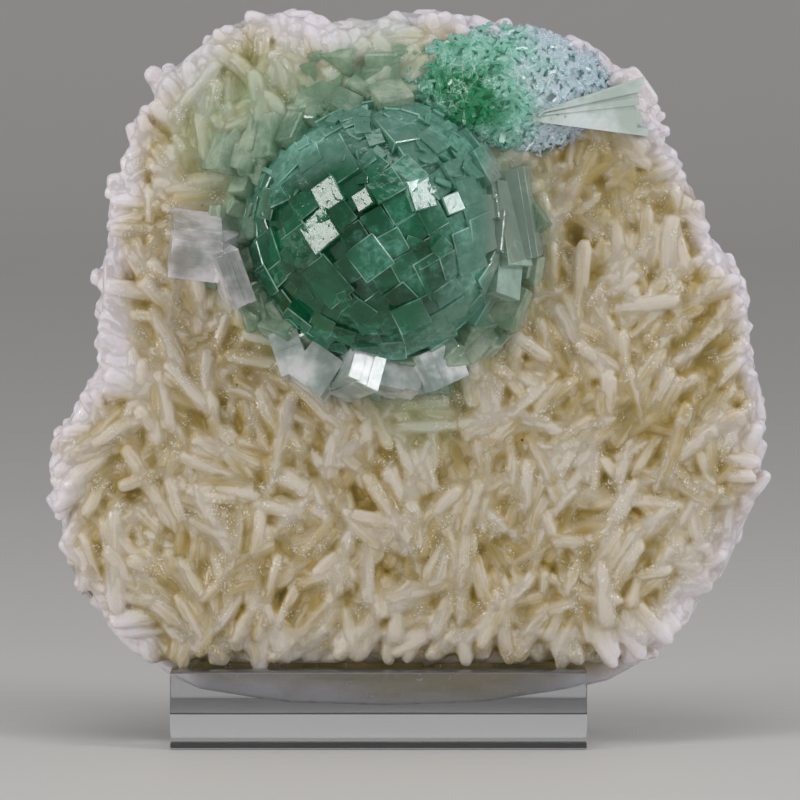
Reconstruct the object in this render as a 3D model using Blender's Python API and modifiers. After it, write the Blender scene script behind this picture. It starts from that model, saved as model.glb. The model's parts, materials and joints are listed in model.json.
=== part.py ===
"""Green apophyllite ball on a plate of stilbite blades, held in a slotted block of clear acrylic.

The frame has +X to the right, +Z up and -Y towards the viewer, with its origin at the middle of the block's
underside. Lengths are in metres.
"""

import math
import random

import bmesh
import bpy
from mathutils import Euler, Matrix, Vector, noise

MM = 0.001
GAP = 0.3 * MM

# The acrylic block and the slot that the plate's lower edge stands in.
BLOCK_WIDTH = 76.2 * MM
BLOCK_DEPTH = 38.0 * MM
BLOCK_HEIGHT = 14.3 * MM
SLOT_WIDTH = 14.0 * MM
SLOT_FLOOR = 5.7 * MM
BLOCK_BEVEL = 0.5 * MM

# The plate's outline seen from the front, in millimetres, from its lowest point round by the left.
PLATE_OUTLINE_MM = (
    (2.0, 6.0), (-16.7, 6.5), (-31.9, 8.6), (-38.2, 11.3), (-46.7, 18.9), (-54.4, 26.9), (-56.7, 31.7),
    (-60.0, 45.0), (-60.2, 55.4), (-56.2, 60.5), (-53.3, 65.7), (-50.8, 68.6), (-51.6, 75.5), (-51.2, 85.3),
    (-48.9, 89.1), (-49.6, 96.0), (-49.2, 101.0), (-47.1, 105.7), (-45.0, 114.8), (-41.7, 117.5), (-40.1, 122.9),
    (-36.2, 124.9), (-30.5, 130.6), (-25.6, 132.6), (-19.1, 134.1), (-12.2, 134.3), (-7.9, 131.9), (3.0, 133.6),
    (10.6, 135.0), (18.7, 133.2), (25.4, 130.4), (32.8, 128.2), (37.6, 129.1), (42.1, 125.3), (47.3, 122.1),
    (50.2, 117.8), (51.3, 111.9), (54.2, 107.0), (58.3, 100.5), (60.4, 93.8), (66.3, 86.0), (68.1, 80.2),
    (68.3, 71.0), (70.6, 64.5), (70.5, 48.7), (67.0, 43.1), (66.1, 37.7), (62.0, 29.3), (56.9, 21.8),
    (51.1, 15.8), (43.0, 11.0), (33.6, 8.6), (18.7, 6.6),
)
PLATE_CENTRE = Vector((6.0 * MM, 0.0, 69.5 * MM))
MEAN_RADIUS = 63.0 * MM
PLATE_SEGMENTS = 52
PLATE_RINGS = 10
RIM_START = 0.95
FRONT_DEPTH = 11.0 * MM
BACK_DEPTH = 10.0 * MM
FOOT_DEPTH = 6.6 * MM
FOOT_TOP = BLOCK_HEIGHT + 1.2 * MM
FOOT_BLEND = 13.0 * MM
RIM_SQUARENESS = 9.0
LUMP_HEIGHT = 1.5 * MM
LUMP_SPACING = 17.0 * MM
BALL_MOUND = 4.0 * MM
BALL_MOUND_SPREAD = 24.0 * MM
HOLLOW_CENTRE = Vector((40.5 * MM, 0.0, 98.0 * MM))
HOLLOW_DEPTH = 2.5 * MM
HOLLOW_SPREAD = 12.0 * MM

# Stilbite blades: flat bars that narrow towards their ends, about half sunk in the plate.
BLADE_SEED = 48
BLADE_ROWS = 9
BLADE_COLUMNS = 9
RIM_BLADES = 20
BACK_BLADES = 10
BLADE_LENGTH = (9.0 * MM, 15.0 * MM)
BLADE_WIDTH = (3.8 * MM, 5.6 * MM)
BLADE_THICKNESS = (2.8 * MM, 4.0 * MM)
BLADE_LEAN = (0.08, 0.45)
BLADE_RISE = 1.4 * MM
BLADE_TIP = 0.62
BLADE_ROOT = 0.85
BLADE_FLOOR = BLOCK_HEIGHT + 3.0 * MM

# The green apophyllite ball: square-ended crystals that radiate from one centre.
BALL_CENTRE = Vector((0.5 * MM, -9.5 * MM, 94.6 * MM))
BALL_RADIUS = 24.6 * MM
BALL_CORE = 0.93
BALL_CRYSTALS = 190
BALL_FACET = 5.7 * MM
BALL_STEP = 0.9 * MM
BALL_TILT = math.radians(3.0)
BALL_FRONT_SHARE = -0.08
BALL_BACK_FLATTENING = 0.4
BALL_SEED = 7

# The flatter green crust that grows up to the plate's upper right edge.
DRUSE_CENTRE = Vector((22.3 * MM, -8.6 * MM, 119.2 * MM))
DRUSE_AXES = Vector((21.0 * MM, 8.5 * MM, 12.5 * MM))
DRUSE_CRYSTALS = 36
DRUSE_CRYSTAL_SIZE = (3.4 * MM, 5.4 * MM)
DRUSE_FRONT_SHARE = -0.05
DRUSE_SEED = 19

# Crystals with flat faces: centre, size and rotation, in millimetres and degrees.
LEFT_CRYSTALS = (
    ((-33.6, -15.2, 92.4), (9.0, 11.0, 9.6), (20, 7, 6)),
    ((-27.2, -17.4, 86.9), (4.2, 9.0, 10.6), (8, -22, 16)),
    ((-29.8, -14.6, 90.9), (7.0, 9.0, 7.4), (12, 14, -24)),
)
LOWER_CRYSTALS = (
    ((-4.6, -17.4, 69.2), (6.0, 11.0, 7.6), (-12, 24, 14)),
    ((-10.9, -15.8, 68.8), (7.4, 9.0, 7.0), (-20, 34, -16)),
    ((-15.7, -14.6, 72.6), (5.6, 8.0, 7.2), (-8, -10, -24)),
    ((2.4, -14.8, 68.4), (8.8, 8.0, 7.0), (-14, 12, 26)),
    ((10.1, -14.6, 69.8), (7.6, 8.0, 7.4), (-10, -20, 34)),
)
RIGHT_CRYSTALS = (
    ((22.7, -16.2, 95.8), (5.2, 8.0, 15.8), (-4, -12, -34)),
    ((26.2, -13.4, 98.0), (4.6, 8.0, 17.0), (2, -9, -12)),
    ((20.9, -16.4, 86.7), (7.4, 7.0, 8.6), (-16, -6, -38)),
)
FAN_TIP = Vector((28.2 * MM, -14.0 * MM, 115.6 * MM))
FAN_END = Vector((48.0 * MM, -12.6 * MM, 117.4 * MM))
FAN_WIDTH = 10.4 * MM
FAN_TIP_WIDTH = 1.6 * MM
FAN_THICKNESS = 6.0 * MM

# Base colours, with their roughness and how much light passes through.
STILBITE_LOOK = ((0.78, 0.71, 0.54, 1.0), 0.45, 0.0)
GREEN_LOOK = ((0.10, 0.42, 0.26, 1.0), 0.12, 0.6)
MINT_LOOK = ((0.42, 0.68, 0.56, 1.0), 0.22, 0.4)
CLEAR_LOOK = ((0.80, 0.84, 0.78, 1.0), 0.12, 0.5)
ACRYLIC_LOOK = ((0.90, 0.92, 0.97, 1.0), 0.05, 0.9)


def clear_scene():
    """Takes every object out of the scene that the script is started in."""
    for old in list(bpy.data.objects):
        bpy.data.objects.remove(old)


def new_collection(name):
    """A collection linked to the scene."""
    collection = bpy.data.collections.new(name)
    bpy.context.scene.collection.children.link(collection)
    return collection


def add_object(name, bm, collection):
    """An object made from bm, in collection."""
    mesh = bpy.data.meshes.new(name)
    bmesh.ops.recalc_face_normals(bm, faces=bm.faces)
    bm.to_mesh(mesh)
    bm.free()
    made = bpy.data.objects.new(name, mesh)
    collection.objects.link(made)
    return made


def add_helper(name, bm, collection):
    """A cutter or an operand, which isn't part of the object itself."""
    helper = add_object(name, bm, collection)
    helper.hide_render = True
    helper.display_type = "WIRE"
    return helper


def material(name, look):
    """A Principled material with the colour, roughness and transmission in look."""
    colour, roughness, transmission = look
    made = bpy.data.materials.new(name)
    made.use_nodes = True
    shader = made.node_tree.nodes["Principled BSDF"]
    shader.inputs["Base Color"].default_value = colour
    shader.inputs["Roughness"].default_value = roughness
    shader.inputs["Metallic"].default_value = 0.0
    shader.inputs["Transmission Weight"].default_value = transmission
    return made


def boolean(target, operand, operation, overlapping=False):
    """Joins operand to target, or cuts it from target. The operand's own shapes may overlap each other."""
    modifier = target.modifiers.new(operand.name, "BOOLEAN")
    modifier.operation = operation
    modifier.solver = "EXACT"
    modifier.object = operand
    modifier.use_self = overlapping


def box(bm, centre, size, rotation):
    """Adds a box to bm. Rotation is a rotation matrix."""
    placed = Matrix.Translation(centre) @ rotation.to_4x4() @ Matrix.Diagonal(size).to_4x4()
    return bmesh.ops.create_cube(bm, size=1.0, matrix=placed)["verts"]


def crystal_box(bm, crystal, grow=0.0):
    """Adds one crystal from a table above, grown by grow on every side."""
    centre, size, turns = crystal
    sides = Vector([side * MM + 2 * grow for side in size])
    rotation = Euler([math.radians(turn) for turn in turns]).to_matrix()
    box(bm, Vector(centre) * MM, sides, rotation)


def outline_radius(angle):
    """How far the plate's outline lies from its centre, at that angle round from +X towards +Z."""
    ray = Vector((math.cos(angle), math.sin(angle)))
    corners = [Vector((x * MM - PLATE_CENTRE.x, z * MM - PLATE_CENTRE.z)) for x, z in PLATE_OUTLINE_MM]
    farthest = 0.0
    for start, end in zip(corners, corners[1:] + corners[:1]):
        along = end - start
        cross = ray.x * along.y - ray.y * along.x
        if abs(cross) < 1e-12:
            continue
        distance = (start.x * along.y - start.y * along.x) / cross
        share = (start.x * ray.y - start.y * ray.x) / cross
        if distance > 0.0 and 0.0 <= share <= 1.0:
            farthest = max(farthest, distance)
    return farthest


def bump(x, z, centre, spread):
    """1 at centre, falling smoothly to 0 over a few times spread."""
    distance = math.hypot(x - centre.x, z - centre.z)
    return math.exp(-((distance / spread) ** 2))


def foot_limit(z):
    """How thick half the plate may be at height z, so that its lower edge stands in the slot."""
    rise = min(max((z - FOOT_TOP) / FOOT_BLEND, 0.0), 1.0)
    return FOOT_DEPTH + (FRONT_DEPTH + BALL_MOUND - FOOT_DEPTH) * rise * rise * (3.0 - 2.0 * rise)


def plate_depth(x, z, front):
    """How far the plate reaches in front of or behind its middle plane, before its rim rounds it off."""
    lump = noise.noise(Vector((x, 0.1 if front else 0.7, z)) / LUMP_SPACING) * LUMP_HEIGHT
    if not front:
        return min(BACK_DEPTH + 1.4 * lump, foot_limit(z))
    depth = FRONT_DEPTH + lump
    depth += BALL_MOUND * bump(x, z, BALL_CENTRE, BALL_MOUND_SPREAD)
    depth -= HOLLOW_DEPTH * bump(x, z, HOLLOW_CENTRE, HOLLOW_SPREAD)
    return min(depth, foot_limit(z))


def plate_point(angle, share, front):
    """The point of the plate's surface at an angle round it and a share of the way out to its rim."""
    outer = outline_radius(angle)
    reach = share * (MEAN_RADIUS + (outer - MEAN_RADIUS) * share)
    x = PLATE_CENTRE.x + reach * math.cos(angle)
    z = PLATE_CENTRE.z + reach * math.sin(angle)
    rounding = max(1.0 - share**RIM_SQUARENESS, 0.0) ** (1.0 / 3.0)
    depth = plate_depth(x, z, front) * rounding
    return Vector((x, -depth if front else depth, z))


def make_plate(collection):
    """The stilbite plate without its blades: a sphere with its poles at front and back, drawn to the outline."""
    bm = bmesh.new()
    bmesh.ops.create_uvsphere(bm, u_segments=PLATE_SEGMENTS, v_segments=PLATE_RINGS, radius=1.0)
    for vertex in bm.verts:
        angle = math.atan2(vertex.co.y, vertex.co.x)
        polar = math.acos(min(abs(vertex.co.z), 1.0)) / (math.pi / 2)
        last_ring = 1.0 - 2.0 / PLATE_RINGS
        share = polar / last_ring * RIM_START if polar <= last_ring + 1e-6 else 1.0
        vertex.co = plate_point(angle, share, vertex.co.z > 0.0)
    return add_object("stilbite_matrix", bm, collection)


def blade(bm, centre, size, rotation):
    """Adds one stilbite blade: a flat bar that is narrower at its ends, one more than the other."""
    for vertex in bmesh.ops.create_cube(bm, size=1.0)["verts"]:
        taper = BLADE_TIP if vertex.co.x > 0.0 else BLADE_ROOT
        bar = Vector((vertex.co.x * size[0], vertex.co.y * size[1] * taper, vertex.co.z * size[2] * taper))
        vertex.co = centre + rotation @ bar


def in_green(x, z):
    """Whether the ball, the crust or the fan covers the plate at x, z."""
    in_ball = math.hypot(x - BALL_CENTRE.x, z - BALL_CENTRE.z) < BALL_RADIUS * 0.97
    across = ((x - DRUSE_CENTRE.x) / DRUSE_AXES.x) ** 2 + ((z - DRUSE_CENTRE.z) / DRUSE_AXES.z) ** 2
    return in_ball or across < 0.9


def blade_turn(rng, lean, angle):
    """A blade's rotation: its length turned by angle in the plate's plane, then leaned out towards the viewer."""
    in_plane = Matrix.Rotation(-angle, 3, "Y")
    rock = Matrix.Rotation(rng.uniform(-1.3, 1.3), 3, "X")
    return in_plane @ Matrix.Rotation(lean, 3, "Z") @ rock


def face_blades(bm, rng):
    """Blades over the plate's face, one near each point of a jittered polar grid."""
    for row in range(BLADE_ROWS):
        for column in range(BLADE_COLUMNS + row):
            share = math.sqrt((row + rng.random()) / BLADE_ROWS) * 0.95
            turn = (column + 0.8 * rng.random()) / (BLADE_COLUMNS + row) * math.tau
            spot = plate_point(turn, share, True)
            size = [rng.uniform(*BLADE_LENGTH), rng.uniform(*BLADE_WIDTH), rng.uniform(*BLADE_THICKNESS)]
            lean = rng.choice((-1, 1)) * rng.uniform(*BLADE_LEAN)
            rotation = blade_turn(rng, lean, rng.gauss(math.pi / 2, 0.85))
            if spot.z < BLADE_FLOOR + size[0] / 2 or in_green(spot.x, spot.z):
                continue
            spot.y -= BLADE_RISE
            blade(bm, spot, size, rotation)


def back_blades(bm, rng):
    """Broad flat blades over the plate's back, which is broken more evenly than its face."""
    for number in range(BACK_BLADES):
        share = math.sqrt((number + 0.5) / BACK_BLADES) * 0.9
        spot = plate_point(number * 2.4 + rng.uniform(-0.3, 0.3), share, False)
        size = [rng.uniform(*BLADE_LENGTH) * 1.3, rng.uniform(*BLADE_WIDTH) * 1.5, rng.uniform(*BLADE_THICKNESS)]
        rotation = blade_turn(rng, rng.uniform(-0.12, 0.12), rng.uniform(0.0, math.pi))
        if spot.z > BLADE_FLOOR + size[0] / 2:
            blade(bm, spot, size, rotation)


def rim_blades(bm, rng):
    """Blades that stick out past the plate's rim, above the block."""
    for number in range(RIM_BLADES):
        angle = math.radians(-25 + 248 * (number + 0.6 * rng.random()) / RIM_BLADES)
        spot = plate_point(angle, 0.93, number % 2 == 0)
        spot.y *= rng.uniform(0.2, 0.9)
        size = [rng.uniform(*BLADE_LENGTH) * 0.8, rng.uniform(*BLADE_WIDTH), rng.uniform(*BLADE_THICKNESS)]
        rotation = blade_turn(rng, rng.uniform(-0.4, 0.4), angle + rng.gauss(0.0, 0.5))
        blade(bm, spot, size, rotation)


def make_blades(helpers):
    """Every blade of the plate in one helper."""
    rng = random.Random(BLADE_SEED)
    bm = bmesh.new()
    face_blades(bm, rng)
    rim_blades(bm, rng)
    back_blades(bm, rng)
    return add_helper("stilbite_blades", bm, helpers)


def ball_directions(count):
    """Directions spread evenly over a sphere, each with its distance in turns round the spiral that makes them."""
    golden = math.pi * (3.0 - math.sqrt(5.0))
    for number in range(count):
        height = 1.0 - 2.0 * (number + 0.5) / count
        ring = math.sqrt(1.0 - height * height)
        yield Vector((ring * math.cos(golden * number), height, ring * math.sin(golden * number)))


def ball_body(bm, radius):
    """Adds a sphere round the ball's centre, flattened at the back, where it lies in the plate."""
    for vertex in bmesh.ops.create_icosphere(bm, subdivisions=3, radius=radius)["verts"]:
        vertex.co.y *= BALL_BACK_FLATTENING if vertex.co.y > 0.0 else 1.0
        vertex.co += BALL_CENTRE


def make_ball(collection, helpers):
    """The apophyllite ball: a core joined with the ends of the crystals that radiate from it."""
    rng = random.Random(BALL_SEED)
    core = bmesh.new()
    ball_body(core, BALL_RADIUS * BALL_CORE)
    ball = add_object("apophyllite_ball", core, collection)
    ends = bmesh.new()
    for direction in ball_directions(BALL_CRYSTALS):
        side = BALL_FACET * rng.uniform(0.85, 1.12)
        reach = BALL_RADIUS - BALL_STEP * rng.random()
        roll = 0.6 + 0.5 * noise.noise(direction * 1.5) + rng.gauss(0.0, 0.10)
        tilt = Euler((rng.gauss(0.0, BALL_TILT), rng.gauss(0.0, BALL_TILT), roll)).to_matrix()
        if direction.y > BALL_FRONT_SHARE:
            continue
        depth = BALL_RADIUS * 0.25
        rotation = direction.to_track_quat("Z", "Y").to_matrix() @ tilt
        box(ends, BALL_CENTRE + direction * (reach - depth / 2), Vector((side, side, depth)), rotation)
    for crystal in RIGHT_CRYSTALS:
        crystal_box(ends, crystal)
    boolean(ball, add_helper("ball_crystals", ends, helpers), "UNION", overlapping=True)
    return ball


def clear_ball(bm):
    """Adds to bm a sphere that clears the ball, and the grown crystals on its right side."""
    ball_body(bm, BALL_RADIUS + 4 * GAP)
    for crystal in RIGHT_CRYSTALS:
        crystal_box(bm, crystal, GAP)


def ball_cutter(helpers):
    """What the ball's neighbours are cut with."""
    bm = bmesh.new()
    clear_ball(bm)
    return add_helper("ball_cutter", bm, helpers)


def crust_mound(bm, grow=0.0):
    """Adds the crust's mound to bm, grown by grow on every side."""
    axes = DRUSE_AXES + Vector((grow, grow, grow))
    stretch = Matrix.Translation(DRUSE_CENTRE) @ Matrix.Diagonal(axes).to_4x4()
    bmesh.ops.create_icosphere(bm, subdivisions=2, radius=1.05, matrix=stretch)


def crust_crystals(bm, grow=0.0):
    """Adds the blocky crystals over the crust's front, each grown by grow on every side."""
    rng = random.Random(DRUSE_SEED)
    for direction in ball_directions(DRUSE_CRYSTALS * 2):
        side = rng.uniform(*DRUSE_CRYSTAL_SIZE) + 2 * grow
        turn = Euler([rng.uniform(-0.6, 0.6) for _ in range(3)]).to_matrix()
        if direction.y > DRUSE_FRONT_SHARE:
            continue
        spot = DRUSE_CENTRE + Vector([a * b for a, b in zip(direction, DRUSE_AXES)]) * 0.95
        box(bm, spot, Vector((side, side, side)), turn)


def make_crust(collection, helpers):
    """The green crust: a low mound with small blocky crystals over its front."""
    mound = bmesh.new()
    crust_mound(mound)
    crust = add_object("apophyllite_crust", mound, collection)
    blocks = bmesh.new()
    crust_crystals(blocks)
    boolean(crust, add_helper("crust_crystals", blocks, helpers), "UNION", overlapping=True)
    return crust


def plate_cutter(helpers):
    """Everything that grows on the plate, grown by the gap, to cut its seats into the plate."""
    bm = bmesh.new()
    clear_ball(bm)
    crust_mound(bm, GAP)
    crust_crystals(bm, GAP)
    fan_box(bm, GAP)
    for crystal in LEFT_CRYSTALS + LOWER_CRYSTALS:
        crystal_box(bm, crystal, GAP)
    return add_helper("plate_cutter", bm, helpers)


def fan_box(bm, grow=0.0):
    """The pale wedge that widens towards the plate's upper right edge, grown by grow on every side."""
    along = FAN_END - FAN_TIP
    turn = along.to_track_quat("X", "Z").to_matrix()
    size = Vector((along.length + 2 * grow, FAN_THICKNESS + 2 * grow, FAN_WIDTH + 2 * grow))
    middle = (FAN_TIP + FAN_END) / 2
    for vertex in box(bm, middle, size, turn):
        local = turn.transposed() @ (vertex.co - middle)
        if local.x < 0.0:
            local.z *= (FAN_TIP_WIDTH + 2 * grow) / size.z
            local.y *= 0.6
        vertex.co = middle + turn @ local


def make_fan(collection):
    """The pale wedge-shaped crystal."""
    bm = bmesh.new()
    fan_box(bm)
    return add_object("pale_fan_crystal", bm, collection)


def make_crystals(name, crystals, collection, helpers):
    """A group of grown-together crystals as one solid."""
    first = bmesh.new()
    crystal_box(first, crystals[0])
    group = add_object(name, first, collection)
    others = bmesh.new()
    for crystal in crystals[1:]:
        crystal_box(others, crystal)
    boolean(group, add_helper(name + "_others", others, helpers), "UNION", overlapping=True)
    return group


def make_block(collection, helpers):
    """The clear acrylic block, with a slot right along its top and softened edges."""
    bm = bmesh.new()
    middle = Vector((0.0, 0.0, BLOCK_HEIGHT / 2))
    box(bm, middle, Vector((BLOCK_WIDTH, BLOCK_DEPTH, BLOCK_HEIGHT)), Matrix.Identity(3))
    block = add_object("acrylic_stand", bm, collection)
    slot = bmesh.new()
    depth = BLOCK_HEIGHT
    box(
        slot,
        Vector((0.0, 0.0, SLOT_FLOOR + depth / 2)),
        Vector((BLOCK_WIDTH * 1.2, SLOT_WIDTH, depth)),
        Matrix.Identity(3),
    )
    boolean(block, add_helper("slot_cutter", slot, helpers), "DIFFERENCE")
    soften = block.modifiers.new("softened edges", "BEVEL")
    soften.width = BLOCK_BEVEL
    soften.segments = 1
    soften.limit_method = "ANGLE"
    return block


def keep_main_body(made):
    """Applies the modifiers, then drops the loose chips and sealed pockets that the cuts left."""
    bm = bmesh.new()
    bm.from_object(made, bpy.context.evaluated_depsgraph_get())
    made.modifiers.clear()
    left = set(bm.faces)
    bodies = []
    while left:
        body = set()
        edge_of_search = [left.pop()]
        while edge_of_search:
            face = edge_of_search.pop()
            body.add(face)
            around = {other for edge in face.edges for other in edge.link_faces}
            edge_of_search += around & left
            left -= around
        bodies.append(body)
    main_body = max(bodies, key=enclosed_volume)
    bmesh.ops.delete(bm, geom=[face for face in bm.faces if face not in main_body], context="FACES")
    bm.to_mesh(made.data)
    bm.free()


def enclosed_volume(faces):
    """The volume that these faces enclose, which is negative for a sealed pocket."""
    return sum(face.calc_center_median().dot(face.normal) * face.calc_area() for face in faces) / 3


def give_material(made, name, look):
    """Gives the object its own material."""
    made.data.materials.append(material(name, look))


def main():
    clear_scene()
    parts = new_collection("apophyllite_cluster")
    helpers = new_collection("cutters")
    helpers.hide_render = True

    block = make_block(parts, helpers)
    give_material(block, "clear_acrylic", ACRYLIC_LOOK)

    ball = make_ball(parts, helpers)
    give_material(ball, "green_apophyllite", GREEN_LOOK)
    crust = make_crust(parts, helpers)
    give_material(crust, "mint_apophyllite", MINT_LOOK)
    fan = make_fan(parts)
    give_material(fan, "pale_crystal", CLEAR_LOOK)
    left = make_crystals("clear_crystals_left", LEFT_CRYSTALS, parts, helpers)
    give_material(left, "clear_apophyllite_left", CLEAR_LOOK)
    lower = make_crystals("clear_crystals_lower", LOWER_CRYSTALS, parts, helpers)
    give_material(lower, "clear_apophyllite_lower", CLEAR_LOOK)

    ball_clear = ball_cutter(helpers)
    fan_clear = bmesh.new()
    fan_box(fan_clear, GAP)
    fan_clear = add_helper("fan_cutter", fan_clear, helpers)
    boolean(left, ball_clear, "DIFFERENCE", overlapping=True)
    boolean(lower, ball_clear, "DIFFERENCE", overlapping=True)
    boolean(crust, ball_clear, "DIFFERENCE", overlapping=True)
    boolean(crust, fan_clear, "DIFFERENCE")
    keep_main_body(crust)

    plate = make_plate(parts)
    give_material(plate, "stilbite", STILBITE_LOOK)
    boolean(plate, make_blades(helpers), "UNION", overlapping=True)
    boolean(plate, plate_cutter(helpers), "DIFFERENCE", overlapping=True)
    keep_main_body(plate)


main()
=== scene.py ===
"""The looks of the apophyllite cluster: fine stilbite blades, the green crystal ball and the clear block.

Lengths are in metres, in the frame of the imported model: +X right, +Z up, -Y towards the viewer.
"""

import json
import random
from math import atan2, cos, exp, hypot, pi, radians, sin, sqrt, tan, tau

import bmesh
import bpy
import numpy as np
from mathutils import Euler, Matrix, Vector, noise
from mathutils.bvhtree import BVHTree
from mathutils.kdtree import KDTree

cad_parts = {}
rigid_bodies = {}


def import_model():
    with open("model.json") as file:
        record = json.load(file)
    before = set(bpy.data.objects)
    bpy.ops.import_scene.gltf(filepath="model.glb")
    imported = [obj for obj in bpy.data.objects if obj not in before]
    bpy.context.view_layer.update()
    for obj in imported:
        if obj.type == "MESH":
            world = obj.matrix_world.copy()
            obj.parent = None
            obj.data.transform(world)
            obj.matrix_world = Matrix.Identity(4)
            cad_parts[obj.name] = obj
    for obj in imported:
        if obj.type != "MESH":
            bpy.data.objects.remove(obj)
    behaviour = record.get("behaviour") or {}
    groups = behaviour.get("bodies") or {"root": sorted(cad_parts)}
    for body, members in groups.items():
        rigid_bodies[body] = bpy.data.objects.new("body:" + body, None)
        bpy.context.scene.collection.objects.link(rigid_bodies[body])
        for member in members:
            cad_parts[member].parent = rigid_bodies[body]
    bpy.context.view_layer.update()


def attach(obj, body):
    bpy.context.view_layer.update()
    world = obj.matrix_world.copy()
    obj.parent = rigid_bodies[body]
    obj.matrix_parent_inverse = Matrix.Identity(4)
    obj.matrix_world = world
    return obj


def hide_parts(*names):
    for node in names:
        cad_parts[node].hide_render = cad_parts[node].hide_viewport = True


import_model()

MM = 0.001
GOLDEN_ANGLE = 2.39996  # steps of this angle spread points evenly round a circle

# The same shapes that the solids are made from.
BLOCK_WIDTH = 76.2 * MM
BLOCK_DEPTH = 38.0 * MM
BLOCK_HEIGHT = 14.3 * MM
SLOT_WIDTH = 14.0 * MM
SLOT_FLOOR = 5.7 * MM
PLATE_OUTLINE_MM = (
    (2.0, 6.0), (-16.7, 6.5), (-31.9, 8.6), (-38.2, 11.3), (-46.7, 18.9), (-54.4, 26.9), (-56.7, 31.7),
    (-60.0, 45.0), (-60.2, 55.4), (-56.2, 60.5), (-53.3, 65.7), (-50.8, 68.6), (-51.6, 75.5), (-51.2, 85.3),
    (-48.9, 89.1), (-49.6, 96.0), (-49.2, 101.0), (-47.1, 105.7), (-45.0, 114.8), (-41.7, 117.5), (-40.1, 122.9),
    (-36.2, 124.9), (-30.5, 130.6), (-25.6, 132.6), (-19.1, 134.1), (-12.2, 134.3), (-7.9, 131.9), (3.0, 133.6),
    (10.6, 135.0), (18.7, 133.2), (25.4, 130.4), (32.8, 128.2), (37.6, 129.1), (42.1, 125.3), (47.3, 122.1),
    (50.2, 117.8), (51.3, 111.9), (54.2, 107.0), (58.3, 100.5), (60.4, 93.8), (66.3, 86.0), (68.1, 80.2),
    (68.3, 71.0), (70.6, 64.5), (70.5, 48.7), (67.0, 43.1), (66.1, 37.7), (62.0, 29.3), (56.9, 21.8),
    (51.1, 15.8), (43.0, 11.0), (33.6, 8.6), (18.7, 6.6),
)
PLATE_CENTRE = Vector((6.0 * MM, 0.0, 69.5 * MM))
MEAN_RADIUS = 63.0 * MM
FRONT_DEPTH = 11.0 * MM
BACK_DEPTH = 10.0 * MM
FOOT_DEPTH = 6.5 * MM
FOOT_TOP = BLOCK_HEIGHT + 1.2 * MM
FOOT_BLEND = 13.0 * MM
RIM_SQUARENESS = 9.0
LUMP_HEIGHT = 1.5 * MM
LUMP_SPACING = 17.0 * MM
BALL_MOUND = 4.0 * MM
BALL_MOUND_SPREAD = 24.0 * MM
HOLLOW_CENTRE = Vector((40.5 * MM, 0.0, 98.0 * MM))
HOLLOW_DEPTH = 2.5 * MM
HOLLOW_SPREAD = 12.0 * MM
BALL_CENTRE = Vector((0.5 * MM, -9.5 * MM, 94.6 * MM))
BALL_RADIUS = 24.6 * MM


def outline_table(count=720):
    """The outline's distance from the plate's centre, at evenly spaced angles."""
    corners = [(x * MM - PLATE_CENTRE.x, z * MM - PLATE_CENTRE.z) for x, z in PLATE_OUTLINE_MM]
    reach = np.zeros(count)
    for number in range(count):
        angle = tau * number / count
        rx, rz = cos(angle), sin(angle)
        for (ax, az), (bx, bz) in zip(corners, corners[1:] + corners[:1]):
            dx, dz = bx - ax, bz - az
            cross = rx * dz - rz * dx
            if abs(cross) < 1e-12:
                continue
            distance = (ax * dz - az * dx) / cross
            share = (ax * rz - az * rx) / cross
            if distance > 0.0 and 0.0 <= share <= 1.0:
                reach[number] = max(reach[number], distance)
    return reach


OUTLINE = outline_table()


def outline_radius(angle):
    """How far the plate's outline lies from its centre, at an angle or an array of angles."""
    place = (np.asarray(angle) % tau) / tau * len(OUTLINE)
    low = np.floor(place).astype(int)
    part = place - low
    return OUTLINE[low % len(OUTLINE)] * (1 - part) + OUTLINE[(low + 1) % len(OUTLINE)] * part


def foot_limit(z):
    """How thick half the plate may be at height z, so that its lower edge stands in the slot."""
    rise = min(max((z - FOOT_TOP) / FOOT_BLEND, 0.0), 1.0)
    return FOOT_DEPTH + (FRONT_DEPTH + BALL_MOUND - FOOT_DEPTH) * rise * rise * (3.0 - 2.0 * rise)


def bump_at(x, z, centre, spread):
    """1 at centre, falling smoothly to 0 over a few times spread."""
    return exp(-(hypot(x - centre.x, z - centre.z) / spread) ** 2)


def plate_depth(x, z, front):
    """How far the plate reaches in front of or behind its middle plane, before its rim rounds it off."""
    lump = noise.noise(Vector((x, 0.1 if front else 0.7, z)) / LUMP_SPACING) * LUMP_HEIGHT
    if not front:
        return min(BACK_DEPTH + 1.4 * lump, foot_limit(z))
    depth = FRONT_DEPTH + lump
    depth += BALL_MOUND * bump_at(x, z, BALL_CENTRE, BALL_MOUND_SPREAD)
    depth -= HOLLOW_DEPTH * bump_at(x, z, HOLLOW_CENTRE, HOLLOW_SPREAD)
    return min(depth, foot_limit(z))


def rim_rounding(share):
    """What share of the plate's depth is left that far out towards its rim."""
    return max(1.0 - share**RIM_SQUARENESS, 0.0) ** (1.0 / 3.0)


def plate_point(angle, share, front):
    """The point of the plate's surface at an angle round it and a share of the way out to its rim."""
    outer = float(outline_radius(angle))
    reach = share * (MEAN_RADIUS + (outer - MEAN_RADIUS) * share)
    x = PLATE_CENTRE.x + reach * cos(angle)
    z = PLATE_CENTRE.z + reach * sin(angle)
    depth = plate_depth(x, z, front) * rim_rounding(share)
    return Vector((x, -depth if front else depth, z))


def on_face(x, z, share):
    """The point over x, z that stands out as far as the plate's face does at that share of the way to its rim."""
    spot = plate_point(atan2(z - PLATE_CENTRE.z, x - PLATE_CENTRE.x), share, True)
    spot.x, spot.z = x, z
    return spot


def rim_share(x, z):
    """How far out to the plate's rim points x, z lie, from 0 at the middle to 1 at the rim."""
    dx, dz = x - PLATE_CENTRE.x, z - PLATE_CENTRE.z
    outer = outline_radius(np.arctan2(dz, dx))
    return np.hypot(dx, dz) / outer


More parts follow.
